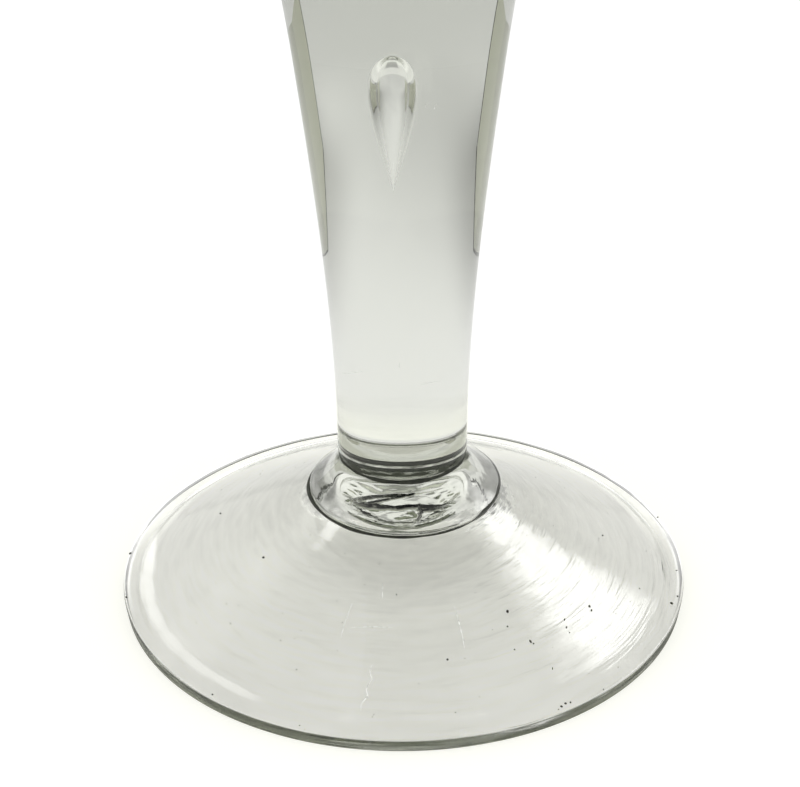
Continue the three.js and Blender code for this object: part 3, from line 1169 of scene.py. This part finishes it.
bpy.context.view_layer.update()
stone = grainy_finish("grit_finish", STONE_GRAIN, STONE_ROUGHNESS, stone_look)
grit_piece("foot_grit", "foot_glass", stone)
powder = grainy_finish("scratch_finish", POWDER_GRAIN, POWDER_ROUGHNESS, powder_look, Detail=3.0)
scratch_piece("foot_scratches", "foot_glass", FOOT_SCRATCHES, powder)
scratch_piece("stem_scratches", "stem_glass", STEM_SCRATCHES, powder)

# The table and the low walls of the light tent

TABLE_REACH = 4.0
TABLE_LEVEL = -0.03 * MM
TABLE_WHITE = 0.8
UNDER_FOOT_GLOW = 0.5
BARE_TABLE_GLOW = 0.385
BARE_TABLE_OUT = in_mm(46, 75)
SEEN_WHITE = 1.18
SEEN_CARD_SHARE = 0.5
UNDER_FOOT_BLUE = 0.94

# Where the painted light falls off on the table, away from the foot and to the sides, each time
# by a share of it and over a distance; and how it leans to the right
FALLS_OUT = ((0.24, 0.08, 0.3), (0.05, 0.048, 0.07))
FALLS_ASIDE = ((0.25, 0.06, 0.15), (0.2, 0.12, 0.24))
FALLS_ASIDE_BACK = (0.2, 0.3)
LEAN = 0.75
LEAN_REACH = 0.3
LEAN_OUT = (0.1, 0.2, 0.28, 0.42)

# The table under the foot: painted shade in front of the collar, dimmer painted light behind its
# middle, and a painted glow at the far rim
COLLAR_SHADE = 0.06
COLLAR_SHADE_OUT = in_mm(10, 14, 18, 28)
COLLAR_SHADE_FRONT = in_mm(0, 10)
DIM_SPOT = in_mm(2, 14)
DIM_SPOT_OUT = in_mm(3, 28)
DIM_SPOT_LIGHT = 0.64
FAR_RIM_GLOW = 0.3
FAR_RIM_OUT = in_mm(39, 42.5, 44, 50)
FAR_RIM_BACK = in_mm(0, 20)

# Walls of the light tent, as the feet they stand on
WALL_HEIGHT = 0.07
WALL_COLOUR = (0.67, 0.68, 0.575, 1)
SHADE_CARD = (0.05, 0.05, 0.04, 1)
STRIP_LEVEL = 0.3 * MM
RIGHT_WALL = [(0.201, 0.221), (0.153, 0.109), (0.186, 0.052), (0.196, -0.005)]
LEFT_WALL = [(-x, y) for x, y in RIGHT_WALL]


def table_light(across, back, out):
    """How much of the studio's light is painted on each place of the table."""
    pool = 1.0 - sum(share * out.rise(*span) for share, *span in FALLS_OUT)
    lean = across.math("MINIMUM", LEAN_REACH).math("MAXIMUM", -LEAN_REACH) * LEAN
    lit = pool + lean * out.within(*LEAN_OUT)
    aside = across.math("ABSOLUTE")
    sides = sum(share * aside.rise(*span) for share, *span in FALLS_ASIDE)
    return (lit * (1.0 - sides * back.fall(*FALLS_ASIDE_BACK))).math("MINIMUM", 1.0)


def under_foot_light(across, back, out):
    """How brightly the table glows through the foot, with painted shade and a painted glow."""
    in_front = (0.0 - back).rise(*COLLAR_SHADE_FRONT)
    shade = 1.0 - COLLAR_SHADE * out.within(*COLLAR_SHADE_OUT) * in_front
    off_spot = length(across - DIM_SPOT[0], back - DIM_SPOT[1])
    dim = DIM_SPOT_LIGHT + (1.0 - DIM_SPOT_LIGHT) * off_spot.rise(*DIM_SPOT_OUT)
    far_rim = out.within(*FAR_RIM_OUT) * back.rise(*FAR_RIM_BACK)
    return UNDER_FOOT_GLOW * shade * dim + FAR_RIM_GLOW * far_rim


def table_finish():
    """White card with painted light, a little greyer towards its far edge, that the lens sees as
    plain white.
    """
    material, plan = new_finish("white_table")
    across, back, height = plan.split(plan.place())
    out = length(across, back)
    light = table_light(across, back, out)
    path = plan.node("ShaderNodeLightPath")
    seen = path.other("Is Camera Ray")
    through = (path.other("Is Glossy Ray") + path.other("Is Transmission Ray")).math("MINIMUM", 1.0)
    under = under_foot_light(across, back, out)
    bare = out.rise(*BARE_TABLE_OUT)
    card = light * TABLE_WHITE * (1.0 - (1.0 - SEEN_CARD_SHARE) * seen)
    glow = through * light * (under + (BARE_TABLE_GLOW - under) * bare)
    lift = seen * (SEEN_WHITE - light * TABLE_WHITE * SEEN_CARD_SHARE) + glow
    colour = plan.join(1.0, 1.0, UNDER_FOOT_BLUE + (1.0 - UNDER_FOOT_BLUE) * bare)
    shade = plan.vectors("SCALE", colour, Scale=card)
    paint = plan.node("ShaderNodeBsdfDiffuse", None, {"Color": shade})
    gleam = plan.node("ShaderNodeEmission", None, {"Color": colour, "Strength": lift})
    both = plan.node("ShaderNodeAddShader", None, {0: paint, 1: gleam})
    plan.node("ShaderNodeOutputMaterial", None, {"Surface": both})
    return material


def stage_piece(name, places, faces, finish):
    mesh = bpy.data.meshes.new(name)
    mesh.from_pydata(places, [], faces)
    mesh.materials.append(finish)
    piece = add_object(name, mesh)
    return piece


def card(name, first, second, colour):
    """A folded card between two lines of points, which only the glass sees."""
    count = len(first)
    faces = [(i, i + 1, count + i + 1, count + i) for i in range(count - 1)]
    piece = stage_piece(name, [*first, *second], faces, card_finish(name, colour))
    piece.visible_camera = False


def stand(name, feet, colour):
    card(name, [(x, y, 0.0) for x, y in feet], [(x, y, WALL_HEIGHT) for x, y in feet], colour)


def strip(name, feet, width, colour):
    """A strip laid on the table along a line of feet; the dark one is painted shade along a wall's
    foot.
    """
    right, left = [], []
    for i, (x, y) in enumerate(feet):
        run = Vector(feet[min(i + 1, len(feet) - 1)]) - Vector(feet[max(i - 1, 0)])
        side = Vector((run.y, -run.x)).normalized() * width / 2
        right.append((x + side.x, y + side.y, STRIP_LEVEL))
        left.append((x - side.x, y - side.y, STRIP_LEVEL))
    card(name, right, left, colour)


corners = ((-1, -1), (1, -1), (1, 1), (-1, 1))
table_places = [(x * TABLE_REACH, y * TABLE_REACH, TABLE_LEVEL) for x, y in corners]
stage_piece("table", table_places, [(0, 1, 2, 3)], table_finish())

# The walls stand just outside the picture; the glass shows them as dark lines at its edges
# Each wall gets a dark strip along its foot and a dark card at its end: painted shade lines at the
# wall's foot and end
for name, feet, width in (("right", RIGHT_WALL, 0.006), ("left", LEFT_WALL, 0.010)):
    stand(f"{name}_wall", feet, WALL_COLOUR)
    strip(f"{name}_wall_foot", feet, width, SHADE_CARD)
    corner = Vector(feet[0])
    beside = corner + (corner - Vector(feet[1])).normalized() * width
    stand(f"{name}_wall_end", [tuple(corner), tuple(beside)], SHADE_CARD)

# The studio

DOME = (
    (0.0, (0.95, 0.95, 0.93, 1.0)),
    (0.3, (0.9, 0.9, 0.88, 1.0)),
    (0.6, (0.78, 0.78, 0.76, 1.0)),
    (0.85, (0.6, 0.6, 0.59, 1.0)),
    (1.0, (0.5, 0.5, 0.49, 1.0)),
)
OVERHEAD = (0.25, 0.5)
OVERHEAD_LIFT = 0.4
WALL_SLANT = (0.28, 0.5)
WALL_SPAN = (0.14, 0.2, 0.46, 0.58)
WALL_SHADE = 0.52
ROOM_END = (-90, 34, 22, 14)
ROOM_END_COLOUR = (0.02, 0.025, 0.04)
BOX_WARMTH = 0.98
STUDIO_STRENGTH = 1.35

# Soft boxes at the right back and the left back: brightness, then azimuth, elevation, radius and
# blur in degrees; a tall strip of light at the left back runs through the listed directions
SOFT_BOXES = (
    (6.5, 37, 36.5, 5, 13),
    (2.6, 27, 48, 3, 9),
    (5.0, 162, 44, 3, 4),
    (0.5, 144, 39, 4, 8),
)
STRIP_BRIGHTNESS = 2.8
STRIP_SIZE = (1.5, 6)
STRIP_WAY = ((116, 20), (120, 27), (124, 34), (127, 41), (129, 48), (130, 55))

world = bpy.data.worlds.new("soft_studio")
world.use_nodes = True
world.node_tree.nodes.clear()
sky = Plan(world.node_tree)
path = sky.node("ShaderNodeLightPath")
toward = sky.node("ShaderNodeTexCoord", None, None, "Generated")
aside, behind, height_share = sky.split(toward)
dome = sky.node("ShaderNodeValToRGB", {"stops": DOME}, {"Fac": height_share})


def patch(azimuth, elevation, radius, blur):
    """1 inside a round patch of the studio seen in the given direction, 0 outside it."""
    a, e = math.radians(azimuth), math.radians(elevation)
    way = (math.cos(e) * math.cos(a), math.cos(e) * math.sin(a), math.sin(e))
    facing = sky.vectors("DOT_PRODUCT", toward, way).other("Value")
    return facing.rise(math.cos(math.radians(radius + blur)), math.cos(math.radians(radius)))


camera_ray = path.other("Is Camera Ray")
glossy_ray = path.other("Is Glossy Ray")
refracted = path.other("Is Transmission Ray")
mirrored = glossy_ray * (1.0 - refracted)
through_glass = (glossy_ray + refracted).math("MINIMUM", 1.0)

boxes = sum(brightness * patch(*place) for brightness, *place in SOFT_BOXES)
for azimuth, elevation in STRIP_WAY:
    boxes = boxes.math("MAXIMUM", STRIP_BRIGHTNESS * patch(azimuth, elevation, *STRIP_SIZE))
boxes = boxes * mirrored

# The grey wall behind the table, and the dark end of the room behind the camera
slant = aside.math("ABSOLUTE") / behind.math("MAXIMUM", 0.001)
wall = slant.fall(*WALL_SLANT) * behind.math("GREATER_THAN", 0.0) * height_share.within(*WALL_SPAN)
lifted = 1.0 + OVERHEAD_LIFT * height_share.rise(*OVERHEAD) * refracted
lit = sky.vectors("SCALE", dome, Scale=(1.0 - WALL_SHADE * wall) * lifted)
room = sky.blend(patch(*ROOM_END), lit, ROOM_END_COLOUR)
boxed = sky.vectors("ADD", room, sky.join(boxes, boxes, boxes * BOX_WARMTH))
shown = sky.blend(camera_ray, boxed, (1.0, 1.0, 1.0))
strength = STUDIO_STRENGTH - (STUDIO_STRENGTH - 1.0) * (camera_ray + through_glass)
studio = sky.node("ShaderNodeBackground", None, {"Color": shown, "Strength": strength})
sky.node("ShaderNodeOutputWorld", None, {"Surface": studio})
bpy.context.scene.world = world

bpy.context.scene.view_settings.view_transform = "Standard"
bpy.context.scene.cycles.max_bounces = 24
bpy.context.scene.cycles.transmission_bounces = 24
bpy.context.scene.cycles.glossy_bounces = 12
bpy.context.scene.cycles.transparent_max_bounces = 32
